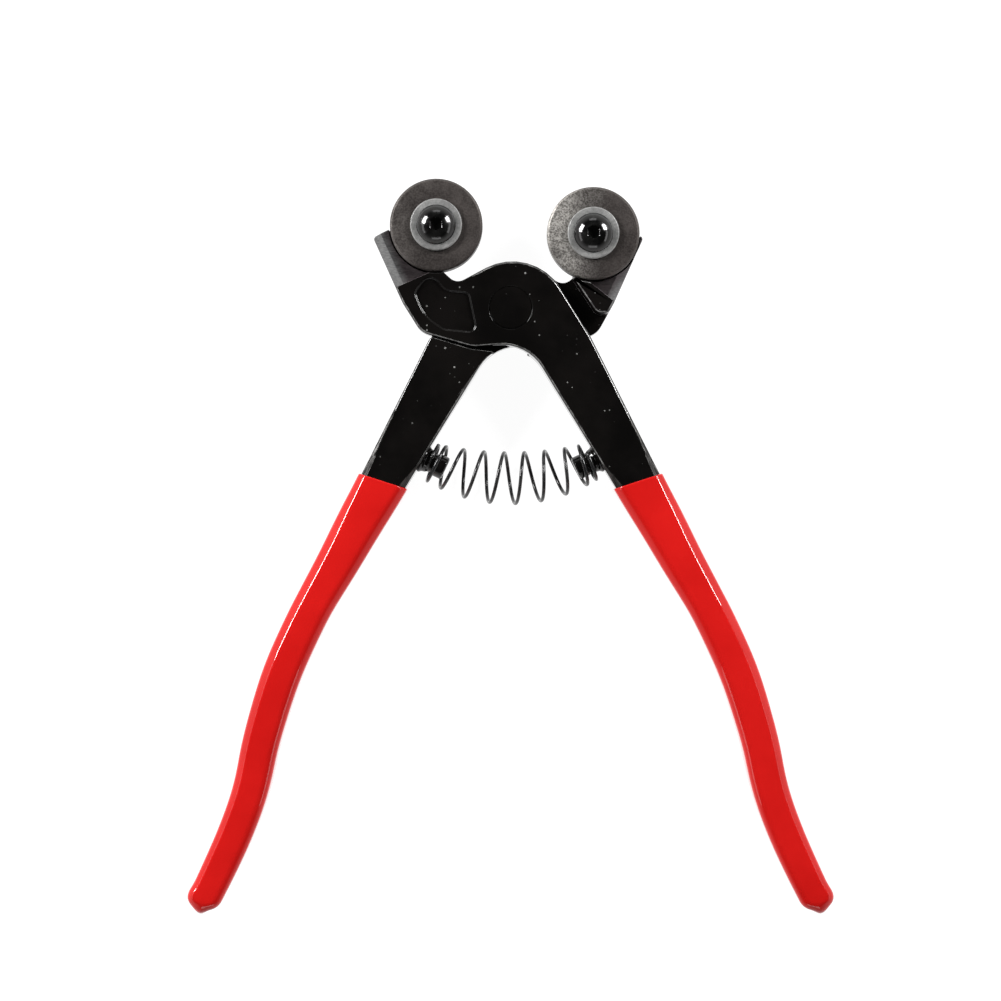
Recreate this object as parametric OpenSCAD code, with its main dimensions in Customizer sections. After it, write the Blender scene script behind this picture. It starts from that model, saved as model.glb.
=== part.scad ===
// Mosaic glass nippers: two crossed levers in a half-lap joint, each with a carbide cutting wheel.
// The tool lies on its back: X to the right, Y from the handles to the wheels, Z up out of the
// front face. The front lever carries the left wheel and the right handle, and the rear lever is
// its mirror image below it. Shapes are drawn about the pivot, with the jaw on the left, and are
// moved at the end so that the origin lies under the middle of the tool.

/* [Head] */
// Thickness of the head through both lapped levers
head_t = 12; // [10:0.5:15]
// Gap between the two lap faces
lap_gap = 0.1; // [0.05:0.05:0.3]
// Diameter of the pivot rivet's shank
rivet_d = 8; // [6:0.5:10]
// Diameter of the rivet's flush heads
rivet_head_d = 10.2; // [9:0.2:13]
// Depth of each rivet head in its counterbore
rivet_head_t = 1.5; // [1:0.1:2]
// Running clearance between the rivet and the front lever, measured on the radius
rivet_fit = 0.05; // [0.02:0.01:0.1]
// Depth of the shallow panel forged in the face of each jaw
panel_depth = 0.7; // [0.3:0.1:1.2]
// Width of the slope along the panel's upper edge
panel_slope_w = 3; // [1:0.5:4]

/* [Jaws] */
// Distance from the pivot to the centre of each wheel
wheel_reach = 26.4; // [25:0.1:30]
// Angle of the front lever's wheel from the long axis
front_bearing = 42; // [38:0.5:46]
// Angle of the rear lever's wheel from the long axis
rear_bearing = 48; // [44:0.5:52]
// How far the front jaw's outer edge stands outside the mean jaw
front_jaw_out = 0.5; // [-1:0.1:1.5]
// How far the rear jaw's outer edge stands outside the mean jaw
rear_jaw_out = -0.6; // [-1:0.1:1.5]
// Slope of the ground step below the front wheel
front_step_angle = 24; // [15:1:45]
// Slope of the ground step below the rear wheel
rear_step_angle = 38; // [15:1:45]
// Height of the ground fence above the wheel's seat
fence_h = 3.5; // [1:0.5:4.5]
// Width of the bevel ground along the fence's outer edge
fence_bevel_w = 2; // [1:0.1:2.5]
// Drop of that bevel at the outer edge
fence_bevel_drop = 1.5; // [0.5:0.1:2.5]

/* [Wheels] */
// Diameter of each cutting wheel
wheel_d = 22; // [18:0.5:26.5]
// Thickness of each cutting wheel
wheel_t = 6; // [4:0.5:8]
// Width of the bevel on the cutting edges
wheel_bevel = 0.5; // [0.2:0.1:1]
// Outer diameter of the bush inside each wheel
bush_d = 8; // [7:0.5:10]
// Running clearance between bush and wheel, measured on the radius
bush_fit = 0.05; // [0.02:0.01:0.1]
// Free play under and over each wheel
wheel_play = 0.05; // [0.03:0.01:0.15]
// Outer diameter of the washer on each wheel
washer_d = 12.3; // [11:0.1:15]
// Thickness of the washer
washer_t = 1; // [0.6:0.1:1.5]
// Diameter of the button-head screw's thread
screw_d = 5; // [4:0.5:6]
// Diameter of the screw's domed head
screw_head_d = 9.4; // [8:0.1:11.5]
// Height of the screw's domed head
screw_head_h = 2.7; // [2:0.1:3.5]
// Width across the flats of the screw's hex socket
socket_w = 3; // [2:0.5:4]
// Clearance of the bush and the washer around the screw, measured on the radius
screw_fit = 0.1; // [0.05:0.05:0.3]

/* [Handles] */
// Angle of the shanks below the X axis
shank_lean = 60.8; // [56:0.2:66]
// Distance of the shank's middle line from the pivot
shank_offset = 6.4; // [5.5:0.1:7]
// Length from the pivot to where the handle starts to curve
straight_l = 83.5; // [70:1:110]
// Radius of the curve that brings the handle in
bend_in_r = 130; // [90:1:160]
// Angle of the curve that brings the handle in
bend_in_a = 18; // [10:0.5:22]
// Radius of the curve that flares the handle out again
bend_out_r = 90; // [70:1:120]
// Angle of the curve that flares the handle out again
bend_out_a = 14; // [10:0.5:22]
// Length of the flared end
flare_l = 11.5; // [6:0.5:20]
// Width of the shank where its edges would meet the pivot
shank_w = 15; // [14:0.5:18]
// Width of the steel where the dipped grip starts
neck_w = 10.6; // [9:0.2:13]
// Width of the steel inside the grip's end
end_w = 6.6; // [6:0.2:9]
// Thickness of the dipped grip on the steel
coat = 0.6; // [0.5:0.05:1.5]
// Distance from the pivot to the grip's upper edge
dip_l = 51; // [49:0.5:56]
// Slope of the grip's upper edge across the handle
dip_angle = 18; // [0:1:30]

/* [Spring] */
// Distance from the pivot to the spring posts along the shank
post_l = 41.3; // [38:0.1:44]
// Diameter of the spring posts
post_d = 5.6; // [4:0.1:7]
// Length of each post outside the shank
post_out = 5.8; // [4:0.1:7]
// Angle of the posts below the X axis
post_lean = 25.6; // [20:0.2:30]
// Diameter of the spring wire
wire_d = 0.85; // [0.6:0.05:1.2]
// Outer diameter of the spring in its middle
coil_mid_d = 13; // [11:0.1:15]
// Outer diameter of the spring at its ends
coil_end_d = 9.6; // [9:0.1:11]
// Number of turns
coil_turns = 9; // [6:0.5:13]
// Length of bare post between the shank and the spring
post_bare = 1.8; // [1:0.1:2.5]

/* [Hidden] */
$fn = 96;

STEEL_PAINT = [0.07, 0.07, 0.08];
PVC_RED = [0.82, 0.07, 0.06];
CARBIDE = [0.30, 0.28, 0.27];
BRIGHT_STEEL = [0.70, 0.70, 0.68];
BLACK_OXIDE = [0.05, 0.05, 0.06];
WIRE_STEEL = [0.25, 0.25, 0.27];

mid_z = head_t / 2;
spring_z = max(mid_z, coil_mid_d / 2 + 0.05);   // the coil stays clear of the resting plane
through = head_t + 2;         // long enough to cut right through the head
seat_gap = 0.35;              // around each wheel in its seat
rim_proud = 1.5;              // how far the wheel's rim overhangs the pad under it
step_below = 9.6;             // from the wheel's centre down to the ground step
thread_up = 0.6;              // from the back face up to the end of the screw
socket_depth = 1.6;           // of the screw's hex socket
socket_d = socket_w / cos(30);
post_sink = 1.2;              // depth of the post's full diameter in the shank
tenon_d = 4;                  // of the post, pressed into the shank
tenon_l = 5;
press_gap = 0.02;             // around parts that are pressed in
arc_steps = 8;                // pieces in each rounded corner
taper_from = 24;              // along the shank, where the steel starts to thin
taper_to = 46;                // along the shank, where it reaches the handle's thickness

// ---- Outlines -------------------------------------------------------------------------------

function unit(v) = v / norm(v);
function xy(p) = [p.x, p.y];
function down(a) = [cos(a), -sin(a)];   // unit vector at angle a below the X axis

// Arc of radius r that rounds corner b between points a and c
function corner(a, b, c, r) =
    let (
        u = unit(a - b),
        v = unit(c - b),
        half = acos(u * v) / 2,
        mid = b + unit(u + v) * r / sin(half),
        start = b + u * r / tan(half) - mid,
        from = atan2(start.y, start.x),
        turn = (180 - 2 * half) * sign(cross(b - a, c - b))
    )
    [for (i = [0 : arc_steps]) mid + r * [cos(from + turn * i / arc_steps),
                                          sin(from + turn * i / arc_steps)]];

// Outline through corners [x, y, radius], where radius 0 keeps the corner sharp
function rounded(p) =
    let (n = len(p))
    [for (i = [0 : n - 1]) each p[i].z > 0
        ? corner(xy(p[(i + n - 1) % n]), xy(p[i]), xy(p[(i + 1) % n]), p[i].z)
        : [xy(p[i])]];

// ---- Middle line of shank and handle: straight, curve in, curve out, straight --------------

along = down(shank_lean);
across = [-along.y, along.x];           // points to the outer edge
bend_in_l = bend_in_r * bend_in_a * PI / 180;
bend_out_l = bend_out_r * bend_out_a * PI / 180;
curve_end = straight_l + bend_in_l;
flare_at = curve_end + bend_out_l;
bar_l = flare_at + flare_l;
lean_mid = shank_lean + bend_in_a;
lean_end = lean_mid - bend_out_a;

foot = shank_offset * across;
bend_start = foot + straight_l * along;
bend_mid = bend_start + 2 * bend_in_r * sin(bend_in_a / 2) * down(shank_lean + bend_in_a / 2);
bend_end = bend_mid + 2 * bend_out_r * sin(bend_out_a / 2) * down(lean_mid - bend_out_a / 2);

// Turn of the middle line at distance s, in degrees below the X axis
function lean_at(s) =
    s < straight_l ? shank_lean
    : s < curve_end ? shank_lean + bend_in_a * (s - straight_l) / bend_in_l
    : s < flare_at ? lean_mid - bend_out_a * (s - curve_end) / bend_out_l
    : lean_end;

// Point of the middle line at distance s
function line_at(s) =
    s < straight_l ? foot + s * along
    : s < curve_end
        ? let (a = lean_at(s) - shank_lean)
          bend_start + 2 * bend_in_r * sin(a / 2) * down(shank_lean + a / 2)
    : s < flare_at
        ? let (a = lean_mid - lean_at(s))
          bend_mid + 2 * bend_out_r * sin(a / 2) * down(lean_mid - a / 2)
    : bend_end + (s - flare_at) * down(lean_end);

// Width of the steel at distance s
function width_at(s) = lookup(s, [
    [0, shank_w],
    [dip_l, neck_w],
    [straight_l, neck_w * 0.78],
    [curve_end, neck_w * 0.72],
    [bar_l, end_w],
]);

// Point on the outer (side = 1) or inner (side = -1) edge at distance s
function edge_at(s, side, extra = 0) =
    line_at(s) + side * (width_at(s) / 2 + extra) * [sin(lean_at(s)), cos(lean_at(s))];

// Both edges of the bar and its round end, from outer edge to inner edge
function bar_edges(outer_from, inner_from, extra) =
    let (
        stations = [dip_l, for (s = [straight_l : 3 : bar_l - 1]) s],
        end_r = width_at(bar_l) / 2 + extra
    )
    concat(
        [edge_at(outer_from, 1, extra)],
        [for (s = stations) edge_at(s, 1, extra)],
        [for (a = [90 : -10 : -90]) line_at(bar_l) + end_r * down(lean_end - a)],
        [for (i = [len(stations) - 1 : -1 : 0]) edge_at(stations[i], -1, extra)],
        [edge_at(inner_from, -1, extra)]
    );

// ---- Head of a lever, jaw on the left -------------------------------------------------------

outer_from = 15;              // along the shank, where the outer edge leaves the head
inner_from = 22;              // along the shank, where the inner edge leaves the arch

// Corners of the jaw and the boss, from the jaw's tip to the shank's outer edge
function jaw_corners(out) = [
    [-32.3 - out, 16.9, 0.8],
    [-22, 22.1, 1],
    [-18.5, 10.8, 1],
    [-12.9, 5.7, 2.8],
    [5.2, 15.4, 13.4],
];

// Corners below the boss, from the arch to the jaw's outer edge
function under_corners(out) = [
    [3.9, -8.3, 11],
    [-9, -9.4, 7],
    [-21 - out / 2, -5.9, 5],
    [-25.2 - out, 1.2, 12],
];

function sharp(points) = [for (p = points) [p.x, p.y, 0]];

function lever_outline(out) = rounded(concat(
    jaw_corners(out),
    sharp(bar_edges(outer_from, inner_from, 0)),
    under_corners(out)
));

// Where the two levers lie on each other: the other lever's sweep, with its shoulders
LAP_CORNERS = [
    [-34, -1.3, 0],
    [-20.4, -1.3, 2],
    [-13.5, 8.9, 0],
    [-7.5, 14.5, 0],
    [24, 14.5, 0],
    [24, -5.35, 0],
    [9.3, -9.8, 6],
    [4.2, -10.4, 3],
    [0, -14, 0],
    [-34, -14, 0],
];

// Shallow panel in the face of the jaw
PANEL_CORNERS = [
    [-22.8, 3.6, 1.5],
    [-19.2, 8.6, 2.4],
    [-15.4, 4, 4],
    [-9.9, 3.6, 1.4],
    [-7.9, -6, 1.6],
    [-15.8, -5.2, 1.2],
    [-20.6, -2, 10],
];

function wheel_at(bearing) = wheel_reach * [-sin(bearing), cos(bearing)];

pad_r = wheel_d / 2 - rim_proud;
seat_r = wheel_d / 2 + seat_gap;

// ---- Where things stand ---------------------------------------------------------------------

top_y = wheel_reach * cos(min(front_bearing, rear_bearing)) + wheel_d / 2;
low_y = line_at(bar_l).y - end_w / 2 - coat;
shift = [0, -(top_y + low_y) / 2, 0];

bush_l = wheel_t + 2 * wheel_play;
washer_z = mid_z + bush_l;
head_z = washer_z + washer_t;

post_base = edge_at(post_l, -1);
spring_r = post_base.x / sin(post_lean);
spring_c = [0, post_base.y + spring_r * cos(post_lean)];

// Front lever's side as drawn, moved to its place
module on_front() {
    translate(shift) children();
}

// Rear lever's side: the mirror image
module on_rear() {
    translate(shift) mirror([1, 0, 0]) children();
}

module at_wheel(bearing, z) {
    spot = wheel_at(bearing);
    translate([spot.x, spot.y, z]) children();
}

// ---- Levers ---------------------------------------------------------------------------------

module side_thinning() {
    // Full thickness at the head, thinner handle, seen from the side
    translate([foot.x, foot.y, 0]) rotate([0, 0, -shank_lean]) rotate([90, 0, 0])
        linear_extrude(height = 300, center = true)
            polygon([
                [-80, 0], [taper_from, 0], [taper_to, coat], [bar_l + 20, coat],
                [bar_l + 20, head_t - coat], [taper_to, head_t - coat],
                [taper_from, head_t], [-80, head_t],
            ]);
}

module rivet_bore(fit) {
    translate([0, 0, -1]) cylinder(d = rivet_d + 2 * fit, h = through);
    translate([0, 0, -1]) cylinder(d = rivet_head_d + 2 * fit, h = 1 + rivet_head_t);
    translate([0, 0, head_t - rivet_head_t])
        cylinder(d = rivet_head_d + 2 * fit, h = 1 + rivet_head_t);
}

module post_axis() {
    // Z of the children runs out of the shank, along the post
    translate([post_base.x, post_base.y, spring_z]) rotate([0, 0, 180 + post_lean])
        rotate([0, 90, 0]) children();
}

module post_socket() {
    post_axis() {
        translate([0, 0, -post_sink]) cylinder(d = post_d + 2 * press_gap, h = post_sink + 2);
        translate([0, 0, -post_sink - tenon_l])
            cylinder(d = tenon_d + 2 * press_gap, h = tenon_l + 1);
    }
}

// All that is ground away beside the wheel, above height z
module ground_off(bearing, step_angle, z) {
    at_wheel(bearing, z) rotate([0, 0, step_angle])
        translate([-40, -step_below, 0]) cube([48, 60, through]);
}

module fence_bevel(out) {
    // The cut rises from the jaw's outer edge towards the wheel
    tip = xy(jaw_corners(out)[0]);
    heel = xy(under_corners(out)[3]);
    edge = heel - tip;
    translate([tip.x, tip.y, mid_z + fence_h - fence_bevel_drop])
        rotate([0, 0, atan2(edge.y, edge.x)]) rotate([atan(fence_bevel_drop / fence_bevel_w), 0, 0])
            translate([-10, -10, 0]) cube([50, 40, through]);
}

module panel() {
    // Shallow pocket in the front face, whose floor rises to the face along its upper edge
    crest = xy(PANEL_CORNERS[1]);
    intersection() {
        translate([0, 0, head_t - panel_depth]) linear_extrude(panel_depth + 1)
            polygon(rounded(PANEL_CORNERS));
        translate([crest.x, crest.y, head_t]) rotate([0, 0, front_step_angle])
            rotate([atan(panel_depth / panel_slope_w), 0, 0])
                translate([-30, -40, 0]) cube([60, 60, 20]);
    }
}

module lever(out, bearing, step_angle, lap_z, fit) {
    color(STEEL_PAINT) difference() {
        intersection() {
            union() {
                linear_extrude(head_t) polygon(lever_outline(out));
                at_wheel(bearing, 0) cylinder(r = pad_r, h = head_t);
            }
            side_thinning();
        }
        // The other lever's half of the lap
        translate([0, 0, lap_z]) linear_extrude(head_t / 2 + lap_gap / 2 + 1)
            polygon(rounded(LAP_CORNERS));
        // Seat of the wheel, and the fence ground down and bevelled beside it
        at_wheel(bearing, mid_z) cylinder(r = seat_r, h = through);
        ground_off(bearing, step_angle, mid_z + fence_h);
        intersection() {
            ground_off(bearing, step_angle, mid_z);
            fence_bevel(out);
        }
        at_wheel(bearing, -1) cylinder(d = screw_d, h = through);
        rivet_bore(fit);
        post_socket();
    }
}

module front_lever() {
    on_front() difference() {
        lever(front_jaw_out, front_bearing, front_step_angle, -1, rivet_fit);
        panel();
    }
}

module rear_lever() {
    // The same forging turned over, so its panel is in the back face
    on_rear() difference() {
        lever(rear_jaw_out, rear_bearing, rear_step_angle, mid_z - lap_gap / 2, 0);
        translate([0, 0, head_t]) mirror([0, 0, 1]) panel();
    }
}

module pivot_rivet() {
    // The heads stay a little inside the two faces
    inset = 0.05;
    color(STEEL_PAINT) translate(shift) rotate_extrude() polygon([
        [0, inset], [rivet_head_d / 2, inset], [rivet_head_d / 2, rivet_head_t],
        [rivet_d / 2, rivet_head_t], [rivet_d / 2, head_t - rivet_head_t + rivet_fit],
        [rivet_head_d / 2, head_t - rivet_head_t + rivet_fit],
        [rivet_head_d / 2, head_t - inset], [0, head_t - inset],
    ]);
}

// ---- Grips ----------------------------------------------------------------------------------

module grip() {
    start = line_at(dip_l);
    above = dip_l - 12;
    color(PVC_RED) difference() {
        intersection() {
            linear_extrude(head_t) polygon(bar_edges(above, above, coat));
            translate([start.x, start.y, 0]) rotate([0, 0, dip_angle])
                translate([-60, -300, -1]) cube([120, 300, through]);
        }
        translate([0, 0, coat]) linear_extrude(head_t - 2 * coat)
            polygon(bar_edges(above - 4, above - 4, 0));
    }
}

module front_grip() {
    on_front() grip();
}

module rear_grip() {
    on_rear() grip();
}

// ---- Wheels and what holds them -------------------------------------------------------------

module wheel(bearing) {
    rim = wheel_d / 2;
    bore = bush_d / 2 + bush_fit;
    color(CARBIDE) at_wheel(bearing, mid_z + wheel_play) rotate_extrude() polygon([
        [bore, 0], [rim - wheel_bevel, 0], [rim, wheel_bevel],
        [rim, wheel_t - wheel_bevel], [rim - wheel_bevel, wheel_t], [bore, wheel_t],
    ]);
}

module wheel_bush(bearing) {
    color(BRIGHT_STEEL) at_wheel(bearing, mid_z) difference() {
        cylinder(d = bush_d, h = bush_l);
        translate([0, 0, -1]) cylinder(d = screw_d + 2 * screw_fit, h = bush_l + 2);
    }
}

module wheel_washer(bearing) {
    edge = 0.15;
    rim = washer_d / 2;
    bore = screw_d / 2 + screw_fit;
    color(BRIGHT_STEEL) at_wheel(bearing, washer_z) rotate_extrude() polygon([
        [bore, 0], [rim - edge, 0], [rim, edge],
        [rim, washer_t - edge], [rim - edge, washer_t], [bore, washer_t],
    ]);
}

module wheel_screw(bearing) {
    // The dome passes through the head's rim and its crown
    head_r = screw_head_d / 2;
    dome_r = (pow(head_r, 2) + pow(screw_head_h, 2)) / (2 * screw_head_h);
    color(BLACK_OXIDE) at_wheel(bearing, 0) difference() {
        union() {
            translate([0, 0, head_z]) intersection() {
                translate([0, 0, screw_head_h - dome_r]) sphere(r = dome_r);
                cylinder(r = head_r + 1, h = screw_head_h + 1);
            }
            translate([0, 0, thread_up]) cylinder(d = screw_d, h = head_z - thread_up + 0.5);
        }
        translate([0, 0, head_z + screw_head_h - socket_depth])
            cylinder(d = socket_d, h = socket_depth + 1, $fn = 6);
    }
}

module front_wheel() {
    on_front() wheel(front_bearing);
}

module rear_wheel() {
    on_rear() wheel(rear_bearing);
}

module front_wheel_bush() {
    on_front() wheel_bush(front_bearing);
}

module rear_wheel_bush() {
    on_rear() wheel_bush(rear_bearing);
}

module front_wheel_washer() {
    on_front() wheel_washer(front_bearing);
}

module rear_wheel_washer() {
    on_rear() wheel_washer(rear_bearing);
}

module front_wheel_screw() {
    on_front() wheel_screw(front_bearing);
}

module rear_wheel_screw() {
    on_rear() wheel_screw(rear_bearing);
}

// ---- Spring and its posts -------------------------------------------------------------------

module spring_post() {
    tip = 0.5;
    color(BLACK_OXIDE) post_axis() rotate_extrude() polygon([
        [0, -post_sink - tenon_l], [tenon_d / 2, -post_sink - tenon_l],
        [tenon_d / 2, -post_sink], [post_d / 2, -post_sink],
        [post_d / 2, post_out - tip], [post_d / 2 - tip, post_out], [0, post_out],
    ]);
}

module front_spring_post() {
    on_front() spring_post();
}

module rear_spring_post() {
    on_rear() spring_post();
}

ring_sides = 8;               // around the wire
turn_rings = 16;              // along one turn
end_crowding = 0.207;         // share of the turns that crowd at the posts
crowd_power = 15;             // how close to the posts they crowd
coil_mid_r = (coil_mid_d - wire_d) / 2;
coil_end_r = (coil_end_d - wire_d) / 2;
spring_half_a = post_lean - asin(post_bare / spring_r);
coil_phase = 292;             // turns the whole coil about its own middle line

// Middle of the wire, with u from -1 at the rear post to 1 at the front post: a barrel-shaped
// helix around an arc that passes through both posts
function wire_at(u) =
    let (
        a = spring_half_a * u,
        turn = coil_phase + 180 * coil_turns * ((1 - end_crowding) * u + end_crowding * pow(u, crowd_power)),
        r = coil_mid_r - (coil_mid_r - coil_end_r) * u * u,
        reach = spring_r + r * cos(turn)
    )
    [spring_c.x + reach * sin(a), spring_c.y - reach * cos(a), spring_z + r * sin(turn)];

// Ring of points around the wire at u, square to it
function wire_ring(u) =
    let (
        step = 0.001,
        here = wire_at(u),
        t = unit(wire_at(u + step) - wire_at(u - step)),
        a = spring_half_a * u,
        side = unit(cross(t, [cos(a), sin(a), 0])),
        out = cross(side, t)
    )
    [for (i = [0 : ring_sides - 1])
        here + wire_d / 2 * (cos(360 * i / ring_sides) * out + sin(360 * i / ring_sides) * side)];

module return_spring() {
    rings = round(coil_turns * turn_rings);
    n = ring_sides;
    points = [for (j = [0 : rings]) each wire_ring(2 * j / rings - 1)];
    walls = [for (j = [0 : rings - 1], i = [0 : n - 1])
        [j * n + i, j * n + (i + 1) % n, (j + 1) * n + (i + 1) % n, (j + 1) * n + i]];
    color(WIRE_STEEL) translate(shift) polyhedron(points, concat(
        walls,
        [[for (i = [n - 1 : -1 : 0]) i]],
        [[for (i = [0 : n - 1]) rings * n + i]]
    ), convexity = 10);
}

rear_lever();
front_lever();
pivot_rivet();
rear_grip();
front_grip();
rear_wheel();
front_wheel();
rear_wheel_bush();
front_wheel_bush();
rear_wheel_washer();
front_wheel_washer();
rear_wheel_screw();
front_wheel_screw();
rear_spring_post();
front_spring_post();
return_spring();
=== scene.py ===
# %% [markdown]
# # Mosaic glass nippers
# The real tool is two black-enamelled forgings crossed in a half-lap joint. Each carries a round
# carbide wheel on a screw, a barrel-shaped spring holds the handles apart, and the handles are
# dipped in soft red vinyl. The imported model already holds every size, so this script takes it as a
# fixed frame and builds only the looks around it. The alternative, modelling by eye and scaling
# at the end, would drift away from the joints. Lengths here are in millimetres, drawn about
# the pivot with X to the right and Y towards the wheels, and become metres in one place.

import bmesh
import bpy
import numpy as np
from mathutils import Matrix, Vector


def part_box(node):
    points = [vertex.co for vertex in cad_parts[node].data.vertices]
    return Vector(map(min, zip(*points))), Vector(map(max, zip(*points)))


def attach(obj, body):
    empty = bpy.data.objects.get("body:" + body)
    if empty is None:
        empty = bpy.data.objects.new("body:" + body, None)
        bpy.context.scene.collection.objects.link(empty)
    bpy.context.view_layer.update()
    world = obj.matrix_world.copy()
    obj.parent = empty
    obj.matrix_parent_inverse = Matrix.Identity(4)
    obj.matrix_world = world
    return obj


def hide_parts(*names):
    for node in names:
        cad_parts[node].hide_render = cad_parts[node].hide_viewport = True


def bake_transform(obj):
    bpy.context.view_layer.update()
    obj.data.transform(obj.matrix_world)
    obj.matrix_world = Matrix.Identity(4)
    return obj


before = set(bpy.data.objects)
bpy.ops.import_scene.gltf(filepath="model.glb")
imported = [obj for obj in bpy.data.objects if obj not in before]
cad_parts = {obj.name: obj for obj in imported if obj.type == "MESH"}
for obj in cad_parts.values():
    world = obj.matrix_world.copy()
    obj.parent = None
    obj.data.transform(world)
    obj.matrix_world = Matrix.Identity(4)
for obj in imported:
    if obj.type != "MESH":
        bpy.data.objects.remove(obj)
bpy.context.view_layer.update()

MM = 0.001


def box_mm(node):
    """Lowest and highest corner of a CAD node in millimetres."""
    low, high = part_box(node)
    return np.array(low) / MM, np.array(high) / MM


def centre_mm(node):
    """Middle of a CAD node's box in millimetres."""
    return sum(box_mm(node)) / 2


pivot = centre_mm("pivot_rivet")
head_t = box_mm("front_lever")[1][2]
print("pivot at", pivot.round(2), "head thickness", round(head_t, 2))

# %% [markdown]
# ## Camera, light and floor
# A tool like this is shown lying on a white table, seen from straight above. A long lens looks
# almost straight down everywhere, so the walls of the head and the screws hardly show. Black
# enamel shows only what it reflects, so the light matters as much as the paint: the ceiling is
# dark, which keeps the flat faces black, and everything round the table is bright, which draws
# light lines along each rounded edge. Two soft boxes behind the wheels give the screw heads
# their pairs of highlights.

# %% Camera
def new_object(name, data):
    """Object in the scene that holds the data."""
    made = bpy.data.objects.new(name, data)
    bpy.context.scene.collection.objects.link(made)
    return made


view_width = 239.5
view_middle = (-2.4, -45.75)
lens = 100
sensor = 36
camera_data = bpy.data.cameras.new("camera")
camera_data.lens = lens
camera_data.sensor_width = sensor
camera = new_object("camera", camera_data)
camera_height = view_width * lens / sensor
camera.location = ((pivot[0] + view_middle[0]) * MM, (pivot[1] + view_middle[1]) * MM,
                   (camera_height + head_t / 2) * MM)
camera_data.clip_start = 0.05
camera_data.clip_end = 20
bpy.context.scene.camera = camera
print("camera", round(camera_height), "mm above the tool")


# %% Node helpers
def add(tree, kind, settings=None, **inputs):
    """Adds a node with its settings, and links or sets the inputs named (with _ for a space)."""
    node = tree.nodes.new(kind)
    for key, value in (settings or {}).items():
        setattr(node, key, value)
    for key, value in inputs.items():
        connect(tree, value, node.inputs[key.replace("_", " ")])
    return node


def connect(tree, value, socket):
    """Links a socket, or sets a plain value."""
    if isinstance(value, bpy.types.NodeSocket):
        tree.links.new(value, socket)
    else:
        socket.default_value = value


def calc(tree, operation, *values):
    """Output of a Math node."""
    node = add(tree, "ShaderNodeMath", {"operation": operation})
    for socket, value in zip(node.inputs, values):
        connect(tree, value, socket)
    return node.outputs[0]


def times(tree, a, b):
    """Product of two values."""
    return calc(tree, "MULTIPLY", a, b)


def plus(tree, a, b):
    """Sum of two values."""
    return calc(tree, "ADD", a, b)


def stored(tree, key, output="Fac"):
    """What a mesh carries under a name."""
    return add(tree, "ShaderNodeAttribute", {"attribute_name": key}).outputs[output]


def ramp(tree, value, low, high, to_low=0.0, to_high=1.0):
    """Output of a smooth Map Range node from low..high to to_low..to_high."""
    node = add(tree, "ShaderNodeMapRange", {"interpolation_type": "SMOOTHSTEP"}, Value=value,
               From_Min=low, From_Max=high, To_Min=to_low, To_Max=to_high)
    return node.outputs["Result"]


def mix(tree, factor, a, b):
    """Output of a colour Mix node."""
    node = add(tree, "ShaderNodeMix", {"data_type": "RGBA"})
    for index, value in ((0, factor), (6, a), (7, b)):
        connect(tree, value, node.inputs[index])
    return node.outputs[2]


# %% World
horizon_glow, ceiling_glow = 0.75, 0.02
horizon_end, ceiling_start = 0.10, 0.55
world = bpy.data.worlds.new("studio")
bpy.context.scene.world = world
world.use_nodes = True
tree = world.node_tree
tree.nodes.clear()
direction = add(tree, "ShaderNodeTexCoord").outputs["Generated"]
up = add(tree, "ShaderNodeSeparateXYZ", Vector=direction).outputs["Z"]
brightness = ramp(tree, up, horizon_end, ceiling_start, horizon_glow, ceiling_glow)
background = add(tree, "ShaderNodeBackground", Strength=brightness)
background.inputs["Color"].default_value = (1.0, 0.985, 0.965, 1)
add(tree, "ShaderNodeOutputWorld", Surface=background.outputs[0])
bpy.context.scene.view_settings.view_transform = "Standard"
print("the room glows", horizon_glow, "at the sides and", ceiling_glow, "overhead")


# %% Soft boxes and floor
def soft_box(name, place, width, height, radiance):
    """Area light at place, in metres, that faces the tool. Its power is radiance x area x pi."""
    data = bpy.data.lights.new(name, "AREA")
    data.shape = "RECTANGLE"
    data.size = width
    data.size_y = height
    data.energy = radiance * width * height * np.pi
    light = new_object(name, data)
    light.location = place
    light.rotation_euler = (-light.location).to_track_quat("-Z", "Y").to_euler()
    light.visible_camera = False


soft_box("left_box", (-0.65, 0.37, 0.42), 0.42, 0.22, 38)
soft_box("right_box", (0.62, 0.40, 0.42), 0.32, 0.22, 34)
soft_box("left_panel", (-0.93, -0.12, 0.47), 0.8, 0.18, 1.8)
soft_box("right_panel", (0.93, -0.12, 0.47), 0.8, 0.18, 1.8)
soft_box("front_panel", (0.0, -0.95, 0.47), 0.7, 0.18, 1.8)
soft_box("back_panel", (0.0, 1.05, 0.45), 0.5, 0.18, 1.8)

half_table, table_gap = 3.0, 0.0004
floor_mesh = bpy.data.meshes.new("floor")
corners = half_table * np.array([(-1, -1, 0), (1, -1, 0), (1, 1, 0), (-1, 1, 0)])
floor_mesh.from_pydata(corners.tolist(), [], [(0, 1, 2, 3)])
floor = new_object("floor", floor_mesh)
floor.location.z = -table_gap

paper = bpy.data.materials.new("white_table")
paper.use_nodes = True
paper_shader = paper.node_tree.nodes["Principled BSDF"]
paper_shader.inputs["Base Color"].default_value = (0.16, 0.16, 0.16, 1)
paper_shader.inputs["Roughness"].default_value = 0.9
paper_shader.inputs["Specular IOR Level"].default_value = 0.1
paper_shader.inputs["Emission Color"].default_value = (1, 1, 1, 1)
paper_shader.inputs["Emission Strength"].default_value = 0.96
floor_mesh.materials.append(paper)
print(len(bpy.data.lights), "lights round the table")

# %% [markdown]
# ## Putting a surface into a mesh
# Every new piece below is worked out as arrays of points: a grid whose rows and columns are two
# parameters. One helper turns the grid into faces, joins the points that coincide at seams and
# poles, and says which body the piece moves with and which CAD node it stands for.


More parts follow.
